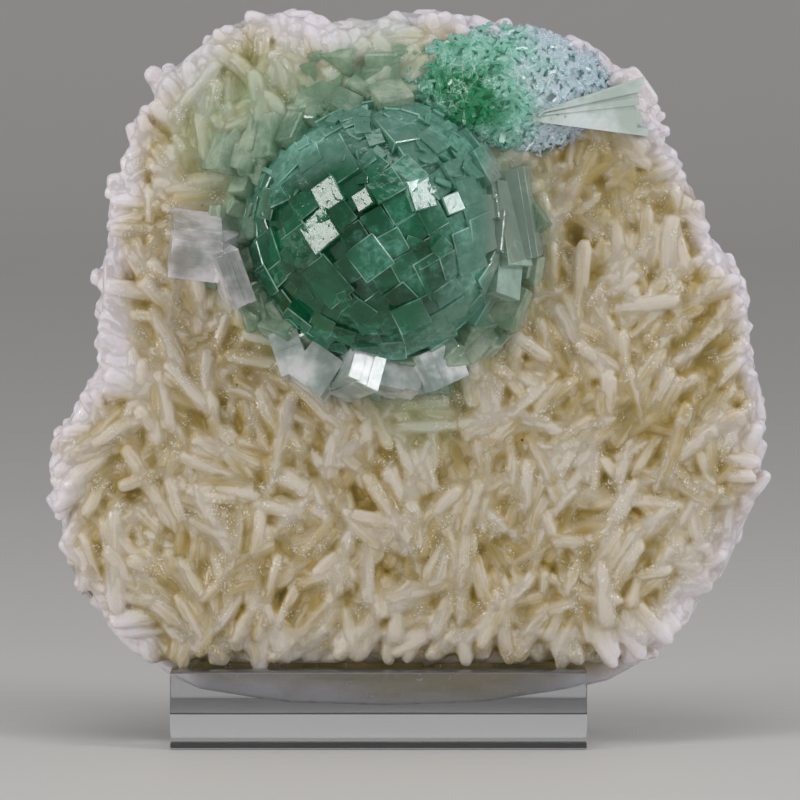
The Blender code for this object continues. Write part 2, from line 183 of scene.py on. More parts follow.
def from_ball(x, z):
    """How far x, z lie from the ball's middle, seen from the front."""
    return hypot(x - BALL_CENTRE.x, z - BALL_CENTRE.z)


def between(pair, share):
    low, high = pair
    return low + (high - low) * share


# The camera stands where the photograph was taken from.
CAMERA_AIM = Vector((3.93, 0.0, 62.8)) * MM
CAMERA_ELEVATION = radians(4.0)
CAMERA_DISTANCE = 1.5
PIXEL = 0.1827 * MM
PIXEL_DISTANCE = 1.4854
FRAME_PIXELS = 800


def camera_axes():
    """The camera's place, and its axes to the right, up and forward."""
    forward = Vector((0.0, cos(CAMERA_ELEVATION), -sin(CAMERA_ELEVATION)))
    up = Vector((0.0, sin(CAMERA_ELEVATION), cos(CAMERA_ELEVATION)))
    return CAMERA_AIM - forward * CAMERA_DISTANCE, Vector((1.0, 0.0, 0.0)), up, forward


def seen_at(column, row, y):
    """The point at depth y (in millimetres) that the camera sees at that column and row of its frame."""
    place, right, up, forward = camera_axes()
    step = PIXEL / PIXEL_DISTANCE
    ray = forward + right * (column - FRAME_PIXELS / 2) * step + up * (FRAME_PIXELS / 2 - row) * step
    return place + ray * ((y * MM - place.y) / ray.y)


def link(name, data):
    """An object in the scene, of that mesh, camera or light."""
    made = bpy.data.objects.new(name, data)
    bpy.context.scene.collection.objects.link(made)
    return made


def modify(made, kind, **settings):
    """Gives an object the mesh that this modifier makes of its own."""
    modifier = made.modifiers.new(kind, kind)
    for key, value in settings.items():
        setattr(modifier, key, value)
    graph = bpy.context.evaluated_depsgraph_get()
    result = bpy.data.meshes.new_from_object(made.evaluated_get(graph))
    made.modifiers.clear()
    made.data = result


def fuse(name, meshes):
    """One closed skin round all of those closed meshes."""
    parts = bpy.data.collections.new("parts")
    bpy.context.scene.collection.children.link(parts)
    for mesh in meshes[1:]:
        parts.objects.link(bpy.data.objects.new("part", mesh))
    made = link(name, meshes[0])
    modify(made, "BOOLEAN", operation="UNION", solver="MANIFOLD", operand_type="COLLECTION", collection=parts)
    for part in list(parts.objects):
        bpy.data.objects.remove(part)
    bpy.data.collections.remove(parts)
    clean(made.data, drop_slivers)
    return made


def clean(mesh, step):
    """Takes a mesh through a step that works on its bmesh."""
    bm = bmesh.new()
    bm.from_mesh(mesh)
    step(bm)
    bm.to_mesh(mesh)
    bm.free()


def drop_slivers(bm):
    """Triangulates a mesh and closes up the hair-thin faces that joining left."""
    bmesh.ops.triangulate(bm, faces=bm.faces[:])
    bmesh.ops.remove_doubles(bm, verts=bm.verts, dist=0.0005 * MM)
    bmesh.ops.dissolve_degenerate(bm, edges=bm.edges, dist=0.0005 * MM)
    folded = [f for f in bm.faces if all(len(e.link_faces) > 2 for e in f.edges)]
    bmesh.ops.delete(bm, geom=folded, context="FACES_ONLY")
    bmesh.ops.triangulate(bm, faces=bm.faces[:])
    keep_main_skin(bm)
    bmesh.ops.holes_fill(bm, edges=[edge for edge in bm.edges if edge.is_boundary], sides=8)
    bmesh.ops.triangulate(bm, faces=bm.faces[:])


def keep_main_skin(bm):
    """Drops every face that doesn't join the largest skin across an edge with two faces."""
    main, known = [], set()
    for first in bm.faces:
        skin, waiting = [], [first] if first not in known else []
        known.add(first)
        while waiting:
            face = waiting.pop()
            skin.append(face)
            for edge in face.edges:
                if len(edge.link_faces) == 2:
                    new = [other for other in edge.link_faces if other not in known]
                    known.update(new)
                    waiting += new
        main = max(main, skin, key=len)
    main = set(main)
    bmesh.ops.delete(bm, geom=[face for face in bm.faces if face not in main], context="FACES")


def carve(made, mesh):
    """Takes the space of a closed mesh out of an object."""
    tool = link("tool", mesh)
    modify(made, "BOOLEAN", operation="DIFFERENCE", solver="MANIFOLD", object=tool)
    bpy.data.objects.remove(tool)


def mesh_of(points, faces):
    mesh = bpy.data.meshes.new("piece")
    mesh.from_pydata([tuple(p) for p in points], [], faces)
    mesh.update()
    return mesh


def mesh_in(bm):
    """The mesh that bm holds, as the last use of bm."""
    mesh = bpy.data.meshes.new("piece")
    bm.to_mesh(mesh)
    bm.free()
    return mesh


def drawn(rng, *ranges):
    """A size whose sides are drawn from those ranges, which are in millimetres."""
    return tuple(rng.uniform(low, high) * MM for low, high in ranges)


def crystal(centre, size, turn, chamfer=0.15 * MM):
    """A block with chamfered edges."""
    bm = bmesh.new()
    bmesh.ops.create_cube(bm, size=1.0)
    bmesh.ops.scale(bm, vec=Vector(size), verts=bm.verts)
    if chamfer:
        bmesh.ops.bevel(bm, geom=bm.edges[:], offset=min(chamfer, min(size) * 0.3), segments=1, affect="EDGES")
    bm.transform(Matrix.Translation(centre) @ turn.to_4x4())
    return mesh_in(bm)


def striated(centre, size, turn, axis, layers, rng, wander=0.35, chamfer=0.1 * MM):
    """A crystal grown in parallel layers across one of its axes, each a little longer or shorter."""
    made = []
    step = size[axis] / layers
    across = [i for i in range(3) if i != axis]
    for layer in range(layers):
        spot = Vector()
        spot[axis] = (layer + 0.5) * step - size[axis] / 2
        extent = list(size)
        extent[axis] = step * 1.3
        for i in across:
            extent[i] += rng.uniform(-wander, 0.0) * MM
            spot[i] = rng.uniform(-wander, wander) * 0.35 * MM
        made.append(crystal(centre + turn @ spot, extent, turn, chamfer))
    return made


def towards(azimuth, elevation):
    """A direction from the specimen, in degrees: azimuth from the viewer, elevation from the floor."""
    a, e = radians(azimuth), radians(elevation)
    return Vector((sin(a) * cos(e), -cos(a) * cos(e), sin(e)))


def outward(y, around):
    """The direction that points y towards the viewer, and at that angle round the line of sight."""
    flat = sqrt(1.0 - y * y)
    return Vector((cos(around) * flat, -y, sin(around) * flat))


def turned(degrees):
    return Euler([radians(d) for d in degrees]).to_matrix()


def ellipsoid(centre, radii, segments=48, rings=24):
    bm = bmesh.new()
    bmesh.ops.create_uvsphere(bm, u_segments=segments, v_segments=rings, radius=1.0)
    bmesh.ops.scale(bm, vec=Vector(radii), verts=bm.verts)
    bm.transform(Matrix.Translation(centre))
    return mesh_in(bm)


def flat_backed(radius, share):
    """A ball in the green ball's place, whose back half is pressed to that share of its depth."""
    mesh = ellipsoid(BALL_CENTRE, (radius, radius, radius))
    for vertex in mesh.vertices:
        if vertex.co.y > BALL_CENTRE.y:
            vertex.co.y = BALL_CENTRE.y + (vertex.co.y - BALL_CENTRE.y) * share
    return mesh


def read_points(mesh, source="vertices", key="co"):
    group = getattr(mesh, source)
    values = np.empty(len(group) * 3)
    group.foreach_get(key, values)
    return values.reshape(-1, 3)


def set_attribute(mesh, name, values, domain="POINT"):
    """Stores one number for each vertex or face, for the materials to read."""
    layer = mesh.attributes.new(name, "FLOAT", domain)
    layer.data.foreach_set("value", np.asarray(values, np.float32))


def soften(mesh, degrees):
    """Shades a mesh smooth except where its faces meet at more than that angle."""
    mesh.shade_smooth()
    mesh.set_sharp_from_angle(angle=radians(degrees))


def openness(mesh, reach, count=14):
    """How open each vertex lies: the share of directions from it that meet nothing within reach."""
    points, normals = read_points(mesh), read_points(mesh, "vertices", "normal")
    tree = BVHTree.FromPolygons([tuple(p) for p in points], [tuple(p.vertices) for p in mesh.polygons])
    rays = []
    for number in range(count):
        height = 1.0 - (number + 0.5) / count * 0.92
        angle = number * GOLDEN_ANGLE
        flat = sqrt(1.0 - height * height)
        rays.append(Vector((cos(angle) * flat, sin(angle) * flat, height)))
    share = np.zeros(len(points))
    for index, (point, normal) in enumerate(zip(points, normals)):
        normal = Vector(normal)
        start = Vector(point) + normal * 0.03 * MM
        frame_turn = normal.to_track_quat("Z", "Y")
        share[index] = sum(tree.ray_cast(start, frame_turn @ ray, reach)[0] is None for ray in rays) / count
    return share


# The stilbite plate.

SLAB_ROUGHNESS = 0.9 * MM
SLAB_ROUGH_SPACING = 3.5 * MM


def slab(segments=260, rings=64):
    """The plate's body without its blades."""
    points = [plate_point(0.0, 0.0, True)]
    for ring in range(1, rings):
        polar = ring / (rings / 2)
        front = ring < rings / 2
        share = polar if front else 2.0 - polar
        share = min(share * 1.02, 1.0) if share < 1.0 else 1.0
        for segment in range(segments):
            point = plate_point(tau * segment / segments, share, front)
            if point.z > BLOCK_HEIGHT + 3 * MM:
                point += noise.noise_vector(point / SLAB_ROUGH_SPACING) * SLAB_ROUGHNESS * share**3
            points.append(point)
    points.append(plate_point(0.0, 0.0, False))
    last = len(points) - 1
    faces = []
    for segment in range(segments):
        after = (segment + 1) % segments
        faces.append((0, 1 + segment, 1 + after))
        for ring in range(rings - 2):
            a = 1 + ring * segments
            faces.append((a + segment, a + segments + segment, a + segments + after, a + after))
        a = 1 + (rings - 2) * segments
        faces.append((a + segment, last, a + after))
    return mesh_of(points, faces)


def bar_template():
    """A unit bar along X with rounded edges and blunt ends: its points and faces."""
    rings = ((-0.5, 0.42), (-0.455, 0.74), (-0.35, 0.95), (0.0, 1.0))
    rings += tuple((-x, wide) for x, wide in reversed(rings[:-1]))
    section = ((0.5, 0.16), (0.42, 0.36), (0.22, 0.5), (-0.22, 0.5), (-0.42, 0.36))
    section += tuple((-y, -z) for y, z in section)
    section = section[:5] + ((-0.5, 0.16),) + section[5:] + ((0.5, -0.16),)
    points = [(x, y * wide, z * wide) for x, wide in rings for y, z in section]
    sides = len(section)
    faces = []
    for ring in range(len(rings) - 1):
        for side in range(sides):
            a = ring * sides + side
            b = ring * sides + (side + 1) % sides
            faces.append((a, b, b + sides, a + sides))
    faces.append(tuple(reversed(range(sides))))
    faces.append(tuple(range((len(rings) - 1) * sides, len(rings) * sides)))
    return np.array(points), faces


BAR_POINTS, BAR_FACES = bar_template()
BAR_WOBBLE = 0.045 * MM
BARS = []


def bar(centre, size, turn, rng):
    """A blunt bar, a little bent, uneven and narrower at one end. BARS keeps where its length runs."""
    BARS.append((centre, turn.col[0].copy(), size[0], rng.random()))
    points = BAR_POINTS * np.array(size)
    along = BAR_POINTS[:, 0:1]
    points[:, 1:] *= 1.0 + rng.uniform(-0.3, 0.3) * along
    points[:, 1:2] += rng.uniform(-0.08, 0.08) * size[0] * (along * along)
    points[:, 2:3] += rng.uniform(-0.05, 0.05) * size[0] * (along * along)
    points += np.array([rng.gauss(0.0, BAR_WOBBLE) for _ in range(points.size)]).reshape(-1, 3)
    return mesh_of(points @ np.array(turn.transposed()) + np.array(centre), BAR_FACES)


ONE_BAR_WIDTH = 3.9 * MM
TWO_BAR_WIDTH = 5.0 * MM


def blade(centre, size, turn, rng):
    """One blade; a broad one is two or three bars grown together side by side, with stepped ends."""
    length, width, thickness = size
    if width < ONE_BAR_WIDTH:
        return [bar(centre, size, turn, rng)]
    made = []
    count = 2 if width < TWO_BAR_WIDTH else 3
    for number in range(count):
        across = ((number + 0.5) / count - 0.5) * width * 0.84
        spot = Vector((rng.uniform(-0.09, 0.09) * length, across, rng.uniform(-0.09, 0.09) * thickness))
        extent = (length * rng.uniform(0.8, 1.0), width / count * 1.5, thickness * rng.uniform(0.85, 1.05))
        fan = Matrix.Rotation(rng.gauss(0.0, 0.03) + across / width * 0.10, 3, "Z")
        made.append(bar(centre + turn @ spot, extent, turn @ fan, rng))
    return made


def blade_turn(rng, lean, angle, rock=1.3):
    """A blade's rotation: its length turned by angle in the plate's plane, then leaned out towards the viewer."""
    in_plane = Matrix.Rotation(-angle, 3, "Y")
    flat = Matrix.Rotation(pi / 2, 3, "X")
    return in_plane @ Matrix.Rotation(lean, 3, "Z") @ Matrix.Rotation(rng.uniform(-rock, rock), 3, "X") @ flat


RIM_REACH = 0.985


def face_blade(rng, x, z, size, angle, lean, rise):
    """A blade on the plate's face at x, z, moved along itself where its ends would pass the rim."""
    dx, dz = cos(angle) * size[0] / 2, sin(angle) * size[0] / 2
    reach = RIM_REACH + 0.025 * rng.random()
    for way in (1.0, -1.0):
        for _ in range(20):
            if rim_share(x + way * dx, z + way * dz) < reach:
                break
            x -= way * dx * 0.08
            z -= way * dz * 0.08
    share = float(rim_share(x, z))
    spot = on_face(x, z, min(share, 0.97))
    spot.y -= rise
    return blade(spot, size, blade_turn(rng, lean, angle, 0.55), rng)


# Two layers of blades over the face. In millimetres: their spacing, length, width, thickness and rise above the
# slab; in radians, how far they lean out of it.
BLADE_LAYERS = (
    (3.5, (9.0, 19.0), (2.8, 4.4), (2.2, 3.0), (0.0, 0.10), (-0.5, 0.5)),
    (4.4, (6.0, 12.0), (2.2, 3.2), (1.6, 2.2), (0.0, 0.20), (0.2, 1.1)),
)
FACE_WIDTH = 136  # millimetres
LONG_BLADES = 70
FOOT_BLADES = 60
SWIRL_SPACING = 15 * MM
SWIRL_ANGLE = 2.2


def swirl(x, z, rng, scatter):
    """The way a blade lies there: neighbours lie nearly alike."""
    return pi / 2 + noise.noise(Vector((x, 3.1, z)) / SWIRL_SPACING) * SWIRL_ANGLE + rng.gauss(0.0, scatter)


def front_blades(rng):
    """The blades over the plate's face, long ones over those, and a low row along the plate's foot."""
    made = []
    for spacing, lengths, widths, thicks, leans, rises in BLADE_LAYERS:
        columns = int(FACE_WIDTH / spacing)
        for row in range(columns):
            for column in range(columns):
                x = (-62 + (column + rng.random()) * spacing) * MM
                z = (15 + (row + rng.random()) * spacing) * MM
                keys = [rng.random() for _ in range(6)]
                angle = swirl(x, z, rng, 0.5)
                angle += pi if keys[4] < 0.5 else 0.0
                if rim_share(x, z) > RIM_REACH or from_ball(x, z) < BALL_RADIUS * 0.86:
                    continue
                size = [between(pair, key) * MM for pair, key in zip((lengths, widths, thicks), keys)]
                drop = size[0] * 0.48 * abs(sin(angle)) + size[1] * 0.5 * abs(cos(angle))
                z = max(z, BLOCK_HEIGHT + 0.5 * MM + drop)
                lean = -between(leans, keys[3] ** 1.6)
                made += face_blade(rng, x, z, size, angle, lean, between(rises, keys[5]) * MM)
    for number in range(LONG_BLADES):
        around, reach = number * GOLDEN_ANGLE, sqrt((number + 0.5) / LONG_BLADES) * 0.9
        outer = float(outline_radius(around)) * reach
        x, z = PLATE_CENTRE.x + outer * cos(around), PLATE_CENTRE.z + outer * sin(around)
        size = drawn(rng, (12.0, 20.0), (3.0, 3.8), (2.2, 2.8))
        angle = swirl(x, z, rng, 0.4)
        if z > BLOCK_HEIGHT + size[0] * 0.5 and from_ball(x, z) > BALL_RADIUS * 1.15:
            made += face_blade(rng, x, z, size, angle, -rng.uniform(0.0, 0.07), rng.uniform(0.5, 1.3) * MM)
    for number in range(FOOT_BLADES):
        x = (-42 + 92 * (number + rng.random()) / FOOT_BLADES) * MM
        size = drawn(rng, (5.0, 9.0), (1.8, 2.8), (2.0, 3.0))
        z = BLOCK_HEIGHT + 0.4 * MM + size[1] * 0.5 + rng.random() * 1.5 * MM
        if rim_share(x, z) < RIM_REACH:
            made += face_blade(rng, x, z, size, rng.gauss(0.0, 0.1), 0.0, rng.uniform(0.6, 2.2) * MM)
    return made


# The rods that stick out at the plate's left edge: middle, size and angle, in millimetres and degrees.
LEFT_RODS = (
    ((-43.4, -8.0, 102.0), (16.5, 4.4, 3.6), 176),
    ((-41.8, -7.0, 110.5), (12.0, 4.2, 3.4), 78),
    ((-50.0, -4.0, 85.4), (6.0, 3.2, 3.0), 170),
    ((-40.0, -5.0, 121.5), (7.0, 3.8, 3.2), 130),
)


RIM_BLADES = 340
BACK_BLADES = 330


def rim_bars(rng):
    """Blunt blades round the plate's rim, and the rods on its left edge."""
    made = []
    for number in range(RIM_BLADES):
        angle = radians(-30 + 232 * (number + rng.random()) / RIM_BLADES)
        front = rng.random() < 0.62
        spot = plate_point(angle, rng.uniform(0.92, 0.985), front)
        spot.y *= rng.uniform(0.2, 1.0)
        size = drawn(rng, (3.0, 6.5), (2.2, 4.2), (1.8, 3.2))
        turn = blade_turn(rng, rng.uniform(-0.25, 0.25), angle + pi / 2 + rng.gauss(0.0, 0.35), 1.2)
        made += blade(spot, size, turn, rng)
    for centre, size, degrees in LEFT_RODS:
        turn = blade_turn(rng, -0.06, radians(degrees), 0.3)
        made += blade(Vector(centre) * MM, Vector(size) * MM, turn, rng)
    return made


def back_bars(rng):
    """Broad flat blades over the plate's back, which is broken more evenly than its face."""
    made = []
    for number in range(BACK_BLADES):
        share = sqrt((number + 0.5) / BACK_BLADES) * 0.94
        spot = plate_point(number * GOLDEN_ANGLE + rng.uniform(-0.1, 0.1), share, False)
        size = drawn(rng, (8.0, 15.0), (3.0, 5.5), (1.6, 2.4))
        turn = blade_turn(rng, rng.uniform(-0.16, 0.16), rng.uniform(0.0, pi), 0.25)
        if spot.z > BLOCK_HEIGHT + 2.5 * MM + size[0] * 0.5:
            made += blade(spot, size, turn, rng)
    return made


STILBITE_TRIANGLES = 190000
VOXEL = 0.36 * MM
BOWL_OVERLAP = 1.4 * MM
SHADE_REACH = 5 * MM


def mark_grain(mesh):
    """Gives each vertex the direction and the random tone of the bar that it lies on."""
    marks = []
    for number, (centre, along, length, _) in enumerate(BARS):
        for step in range(-4, 5):
            marks.append((centre + along * length * step / 9.0, number))
    tree = KDTree(len(marks))
    for index, (spot, _) in enumerate(marks):
        tree.insert(spot, index)
    tree.balance()
    nearest = [marks[tree.find(point)[1]][1] for point in read_points(mesh)]
    layer = mesh.attributes.new("grain", "FLOAT_VECTOR", "POINT")
    layer.data.foreach_set("vector", np.array([BARS[i][1] for i in nearest], np.float32).ravel())
    set_attribute(mesh, "tone", [BARS[i][3] for i in nearest])


def clouds(points, scale, octaves, rough):
    """A cloudy noise between 0 and 1 at each point."""
    values, total = np.zeros(len(points)), 0.0
    for octave in range(octaves):
        share, tight = rough**octave, scale * 2**octave
        values += share * np.array([noise.noise(Vector(p) * tight) for p in points])
        total += share
    return 0.5 + 0.5 * values / total


def surface_height(points):
    """How far points stand out from the plate's body, in millimetres."""
    heights = np.empty(len(points))
    shares = rim_share(points[:, 0], points[:, 2])
    for index, (point, share) in enumerate(zip(points, shares)):
        depth = plate_depth(point[0], point[2], point[1] < 0.0)
        heights[index] = abs(point[1]) - depth * rim_rounding(float(share))
    return heights / MM


def make_stilbite():
    rng = random.Random(11)
    made = fuse("stilbite", [slab()] + front_blades(rng) + rim_bars(rng) + back_bars(rng))
    inner = BALL_RADIUS - BOWL_OVERLAP
    carve(made, flat_backed(inner, 0.3))
    modify(made, "REMESH", mode="VOXEL", voxel_size=VOXEL)
    modify(made, "SMOOTH", factor=0.5, iterations=3)
    clean(made.data, keep_main_skin)
    triangles = sum(len(p.vertices) - 2 for p in made.data.polygons)
    modify(made, "DECIMATE", ratio=min(STILBITE_TRIANGLES / triangles, 1.0))
    mesh = made.data
    mesh.shade_smooth()
    mark_grain(mesh)
    points = read_points(mesh)
    # How open and how high each place lies: the material paints shade in the low, enclosed places and light on the
    # high, open ones from these.
    set_attribute(mesh, "open", openness(mesh, SHADE_REACH, 14))
    set_attribute(mesh, "height", surface_height(points))
    set_attribute(mesh, "rim", rim_share(points[:, 0], points[:, 2]))
    set_attribute(mesh, "patches", clouds(points, 60.0, 3, 0.5))
    set_attribute(mesh, "blotch", clouds(points, 170.0, 4, 0.6))
    return made


# The green ball.

BALL_GRID = 8
BALL_ROLL = radians(-33)
BALL_TIP = radians(-14)
BALL_CORE = 0.94
CRYSTAL_LENGTH = BALL_RADIUS * 0.42
CRYSTAL_CHAMFER = 0.2 * MM
SLIVERS = 330
LEFT_LIGHT = (-56, 10)
RIGHT_LIGHT = (62, 22)
# Where in the camera's frame the faces lie that shine, the light that each throws back, and its size in cells.
SHINING_FACES = (
    (320, 240, LEFT_LIGHT, 1.35), (328, 205, LEFT_LIGHT, 1.0), (362, 196, LEFT_LIGHT, 0.75),
    (428, 205, RIGHT_LIGHT, 1.0), (456, 208, RIGHT_LIGHT, 0.8),
)


def ball_cells():
    """Directions and frames of the ball's square crystals, in rows as on a cube blown up to a sphere."""
    whole = Matrix.Rotation(BALL_TIP, 3, "X") @ Matrix.Rotation(BALL_ROLL, 3, "Y")
    for axis in range(3):
        for sign in (-1.0, 1.0):
            normal = Vector()
            normal[axis] = sign
            u = Vector()
            u[(axis + 1) % 3] = 1.0
            v = normal.cross(u)
            for i in range(BALL_GRID):
                for j in range(BALL_GRID):
                    a = radians((i + 0.5) / BALL_GRID * 90 - 45)
                    b = radians((j + 0.5) / BALL_GRID * 90 - 45)
                    out = (normal + u * tan(a) + v * tan(b)).normalized()
                    side = (u - out * u.dot(out)).normalized()
                    other = out.cross(side)
                    turn = Matrix((side, other, out)).transposed()
                    yield whole @ turn


def ball_slivers(rng):
    """Small blocks and thin broken plates between and over the ball's square crystals."""
    made = []
    for number in range(SLIVERS):
        y = 0.97 - 1.1 * (number + 0.5) / SLIVERS
        around = number * GOLDEN_ANGLE + rng.uniform(-0.4, 0.4)
        out = outward(y, around)
        upper = out.z > 0.30
        if rng.random() < (0.45 if upper else 0.93):
            continue
        turn = out.to_track_quat("Z", "Y").to_matrix()
        if upper and rng.random() < 0.6:
            loose = Euler((rng.gauss(0, 0.5), rng.gauss(0, 0.5), rng.uniform(0, 6))).to_matrix()
            size = drawn(rng, (1.6, 4.0), (0.8, 2.0), (0.25, 0.6))
            high = rng.uniform(-0.4, 0.5) * MM
        else:
            loose = Euler((rng.gauss(0, 0.08), rng.gauss(0, 0.08), rng.gauss(0.5, 0.5))).to_matrix()
            side = rng.uniform(1.6, 3.4) * MM
            size = (side, side * rng.uniform(0.7, 1.3), 5 * MM)
            high = -2.5 * MM + rng.uniform(-0.1, 0.9) * MM
        made.append(crystal(BALL_CENTRE + out * (BALL_RADIUS + high), size, turn @ loose, 0.08 * MM))
    return made


def mirror(azimuth, elevation):
    """The direction that a face must look in to throw the light from there at the camera."""
    _, _, _, forward = camera_axes()
    return (towards(azimuth, elevation) - forward).normalized()


def make_ball():
    rng = random.Random(5)
    parts = [flat_backed(BALL_RADIUS * BALL_CORE, 0.4)]
    cell = BALL_RADIUS * radians(90 / BALL_GRID)
    axes = []
    cells = [turn for turn in ball_cells() if turn.col[2].y < 0.12]
    shining = {}
    for column, row, light, wide in SHINING_FACES:
        aim = (seen_at(column, row, -31) - BALL_CENTRE).normalized()
        shining[max(range(len(cells)), key=lambda i: cells[i].col[2].dot(aim))] = (light, wide)
    for number, turn in enumerate(cells):
        out = turn.col[2].copy()
        keys = [rng.random() for _ in range(5)]
        rough = 2.4 if out.z > 0.25 or out.y > -0.5 else 1.0
        tilt = Euler([rng.gauss(0.0, 0.035 * rough) for _ in range(2)] + [rng.gauss(0.0, 0.04 * rough)]).to_matrix()
        side = cell * (0.93 + 0.14 * keys[0] * rough)
        other = cell * (0.93 + 0.14 * keys[1] * rough)
        top = BALL_RADIUS + (keys[2] - 0.6) * 0.9 * MM * rough**0.5
        turn = turn @ tilt
        if number in shining:
            light, wide = shining[number]
            turn = turn.col[2].rotation_difference(mirror(*light)).to_matrix() @ turn
            side, other, top = side * wide, other * wide, BALL_RADIUS + 0.6 * MM
        elif keys[3] < 0.08:
            top -= 1.0 * MM
        elif keys[4] < 0.13:
            side, other, top = side * (1.25 + keys[3] * 0.5), other * 1.3, top + 0.35 * MM
        axes.append(turn.col[2].copy())
        middle = BALL_CENTRE + out * top - axes[-1] * CRYSTAL_LENGTH / 2
        parts.append(crystal(middle, (side, other, CRYSTAL_LENGTH), turn, CRYSTAL_CHAMFER))
    parts += ball_slivers(rng)
    parts += grown(RIGHT_CRYSTALS, rng)
    made = facetted("apophyllite_ball.fine", parts)
    mark_cells(made.data, axes, BALL_CENTRE)
    return made


def mark_cells(mesh, axes, centre):
    """Marks which faces are chamfers, and gives the faces of one crystal the same random tone."""
    normals = read_points(mesh, "polygons", "normal")
    middles = read_points(mesh, "polygons", "center") - np.array(centre)
    outward = middles / np.linalg.norm(middles, axis=1)[:, None]
    directions = np.array(axes)
    nearest = (outward @ directions.T).argmax(1)
    along = np.abs((normals * directions[nearest]).sum(1))
    chamfer = (along > 0.35) & (along < 0.9)
    tones = np.random.default_rng(3).random(len(directions))
    set_attribute(mesh, "edge", chamfer, "FACE")
    set_attribute(mesh, "tone", tones[nearest], "FACE")


FACET_ANGLE = 15
# Crystals with flat faces: centre, size and rotation, in millimetres and degrees; then, where it differs from one
# to the next, the axis across which it grew in layers, and how many.
LEFT_CRYSTALS = (
    ((-33.6, -15.2, 92.4), (9.0, 11.0, 9.6), (20, 7, 6), 2, 9),
    ((-27.2, -17.4, 86.9), (4.2, 9.0, 10.6), (8, -22, 16), 0, 4),
    ((-29.8, -14.6, 90.9), (7.0, 9.0, 7.4), (12, 14, -24), 2, 4),
)
LOWER_CRYSTALS = (
    ((-4.6, -17.4, 69.2), (6.0, 11.0, 7.6), (-16, 24, 24), 0, 3),
    ((-10.9, -15.8, 68.8), (7.4, 9.0, 7.0), (-20, 34, -16), 2, 3),
    ((-15.7, -14.6, 72.6), (5.6, 8.0, 7.2), (-8, -20, -8), 2, 2),
    ((2.4, -14.8, 68.4), (8.8, 8.0, 7.0), (-20, 12, 12), 0, 3),
    ((10.1, -14.6, 69.8), (7.6, 8.0, 7.4), (-10, -20, 34), 0, 3),
)
RIGHT_CRYSTALS = (
    ((22.7, -16.2, 95.8), (5.2, 8.0, 15.8), (-4, -12, -34), 0, 4),
    ((26.2, -13.4, 98.0), (4.6, 8.0, 17.0), (2, -9, -12), 0, 4),
    ((20.9, -16.4, 86.7), (7.4, 7.0, 8.6), (-16, -6, -38), 0, 4),
)
FAN_TIP = Vector((28.2 * MM, -14.0 * MM, 115.6 * MM))
FAN_END = Vector((48.0 * MM, -12.6 * MM, 117.4 * MM))


def grown(crystals, rng):
    """The meshes of those crystals."""
    parts = []
    for centre, size, degrees, axis, layers in crystals:
        parts += striated(Vector(centre) * MM, Vector(size) * MM, turned(degrees), axis, layers, rng)
    return parts


def facetted(name, parts):
    """Those meshes in one skin, with flat faces."""
    made = fuse(name, parts)
    soften(made.data, FACET_ANGLE)
    return made


def make_fan():
    """The pale wedge: thin blades that spread from one point."""
    rng = random.Random(23)
    along = FAN_END - FAN_TIP
    heading = atan2(along.z, along.x)
    parts = []
    count = 9
    for number in range(count):
        across = (number + 0.5) / count - 0.5
        reach = along.length * rng.uniform(0.93, 1.04)
        low, high = (across - 0.62 / count), (across + 0.62 / count)
        start, end = 1.6 * MM, 10.6 * MM
        deep = rng.uniform(4.6, 6.0) * MM
        drop = rng.uniform(-0.3, 0.3) * MM
        corners = []
        for x, wide in ((0.0, start), (reach, end)):
            for y in (-deep / 2 + drop, deep / 2):
                for share in (low, high):
                    corners.append(Vector((x, y, share * wide)))
        bm = bmesh.new()
        for corner in corners:
            bm.verts.new(corner)
        bmesh.ops.convex_hull(bm, input=bm.verts)
        bm.normal_update()
        bm.transform(Matrix.Translation(FAN_TIP) @ Matrix.Rotation(-heading, 4, "Y"))
        parts.append(mesh_in(bm))
    return facetted("pale_fan.fine", parts)


DRUSE_CENTRE = Vector((22.3 * MM, -8.6 * MM, 119.2 * MM))
DRUSE_AXES = Vector((21.0 * MM, 8.5 * MM, 12.5 * MM))
CRUST_SHARDS = 2300


def make_crust():
    """A mound of small broken flakes that lie every way."""
    rng = random.Random(31)
    parts = [ellipsoid(DRUSE_CENTRE, DRUSE_AXES * 0.93, 64, 32)]
    for number in range(CRUST_SHARDS):
        y = 1.0 - 2.0 * (number + 0.5) / CRUST_SHARDS * 0.62
        around = number * GOLDEN_ANGLE + rng.uniform(-0.3, 0.3)
        out = outward(y, around)
        spot = DRUSE_CENTRE + Vector([o * a * rng.uniform(0.93, 1.01) for o, a in zip(out, DRUSE_AXES)])
        size = drawn(rng, (1.4, 3.4), (0.4, 1.1), (0.25, 0.6))
        lie = Euler((rng.gauss(0.0, 0.5), rng.gauss(0.0, 0.35), rng.uniform(0.0, pi))).to_matrix()
        turn = out.to_track_quat("Z", "Y").to_matrix() @ lie.transposed()
        parts.append(crystal(spot, size, turn, 0.0))
    made = fuse("apophyllite_crust.fine", parts)
    soften(made.data, 12)
    return made


HALO_CRYSTALS = 130


